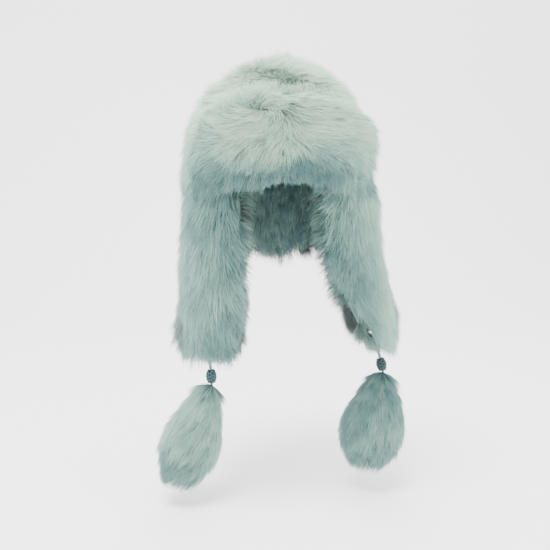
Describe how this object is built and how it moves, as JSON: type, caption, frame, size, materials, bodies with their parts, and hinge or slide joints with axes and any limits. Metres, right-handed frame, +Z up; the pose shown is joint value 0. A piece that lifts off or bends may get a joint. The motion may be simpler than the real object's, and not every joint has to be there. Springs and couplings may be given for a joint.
{
  "type": "trapper hat",
  "caption": "Long-haired fur trapper hat: padded dome crown, turned-up brow flap, long ear flaps and a neck flap that fold up, and fur pompoms hanging on short satin cords.",
  "frame": {"origin": "middle of the head opening, at the lower edge of the sweatband, where the hat sits on the head", "axes": "+Z up out of the crown, the face looks along -Y, the wearer's left is +X"},
  "size_m": [0.3189, 0.304, 0.5478],
  "materials": {
    "fur": "long soft pale mint fur, combed down, darker at the root",
    "cheek_fur": "shorter shaded mint fur on the cheek and neck side",
    "lining_satin": "quilted grey-teal satin",
    "band_satin": "ribbed grosgrain band",
    "suede": "matte suede, the skin side of the pelt",
    "batting": "plain white padding",
    "cord_satin": "twisted satin cord, soft gloss",
    "knot_satin": "dark teal satin cord, glossy"
  },
  "bodies": {
    "crown": {"crown_pelt_centre": "fur", "crown_pelt_left": "fur", "crown_pelt_right": "fur", "crown_padding": "batting", "crown_lining": "lining_satin", "sweatband": "band_satin"},
    "brow_flap": {"brow_flap_pelt": "fur", "brow_flap_stiffener": "batting", "brow_flap_backing": "suede"},
    "neck_flap": {"neck_flap_pelt": "fur", "neck_flap_padding": "batting", "neck_flap_lining": "cheek_fur"},
    "ear_flap_left": {"ear_flap_left_pelt": "fur", "ear_flap_left_padding": "batting", "ear_flap_left_lining": "cheek_fur", "cord_loop_left": "cord_satin"},
    "cord_left": {"tie_cord_left": "cord_satin", "cord_knot_left": "knot_satin"},
    "pompom_left": {"pompom_pelt_left": "fur", "pompom_core_left": "batting"},
    "ear_flap_right": {"ear_flap_right_pelt": "fur", "ear_flap_right_padding": "batting", "ear_flap_right_lining": "cheek_fur", "cord_loop_right": "cord_satin"},
    "cord_right": {"tie_cord_right": "cord_satin", "cord_knot_right": "knot_satin"},
    "pompom_right": {"pompom_pelt_right": "fur", "pompom_core_right": "batting"}
  },
  "joints": [
    {"name": "brow_flap_fold", "type": "hinge", "parent": "crown", "child": "brow_flap", "pos_m": [0, -0.119, 0], "axis": [1, 0, 0], "range_deg": [0, 90]},
    {"name": "neck_flap_fold", "type": "hinge", "parent": "crown", "child": "neck_flap", "pos_m": [0, 0.15, -0.0008], "axis": [1, 0, 0], "range_deg": [0, 150]},
    {"name": "ear_flap_left_fold", "type": "hinge", "parent": "crown", "child": "ear_flap_left", "pos_m": [0.131, 0, -0.0008], "axis": [0, -1, 0], "range_deg": [0, 150]},
    {"name": "cord_left_swing", "type": "hinge", "parent": "ear_flap_left", "child": "cord_left", "pos_m": [0.13002, -0.01585, -0.21649], "axis": [0, 1, 0], "range_deg": [-40, 40]},
    {"name": "pompom_left_swing", "type": "hinge", "parent": "cord_left", "child": "pompom_left", "pos_m": [0.13794, -0.01587, -0.24939], "axis": [1, 0, 0], "range_deg": [-30, 30]},
    {"name": "ear_flap_right_fold", "type": "hinge", "parent": "crown", "child": "ear_flap_right", "pos_m": [-0.131, 0, -0.0008], "axis": [0, 1, 0], "range_deg": [0, 150]},
    {"name": "cord_right_swing", "type": "hinge", "parent": "ear_flap_right", "child": "cord_right", "pos_m": [-0.09013, -0.04086, -0.2215], "axis": [0, 1, 0], "range_deg": [-40, 40]},
    {"name": "pompom_right_swing", "type": "hinge", "parent": "cord_right", "child": "pompom_right", "pos_m": [-0.08687, -0.04089, -0.2554], "axis": [1, 0, 0], "range_deg": [-30, 30]}
  ]
}
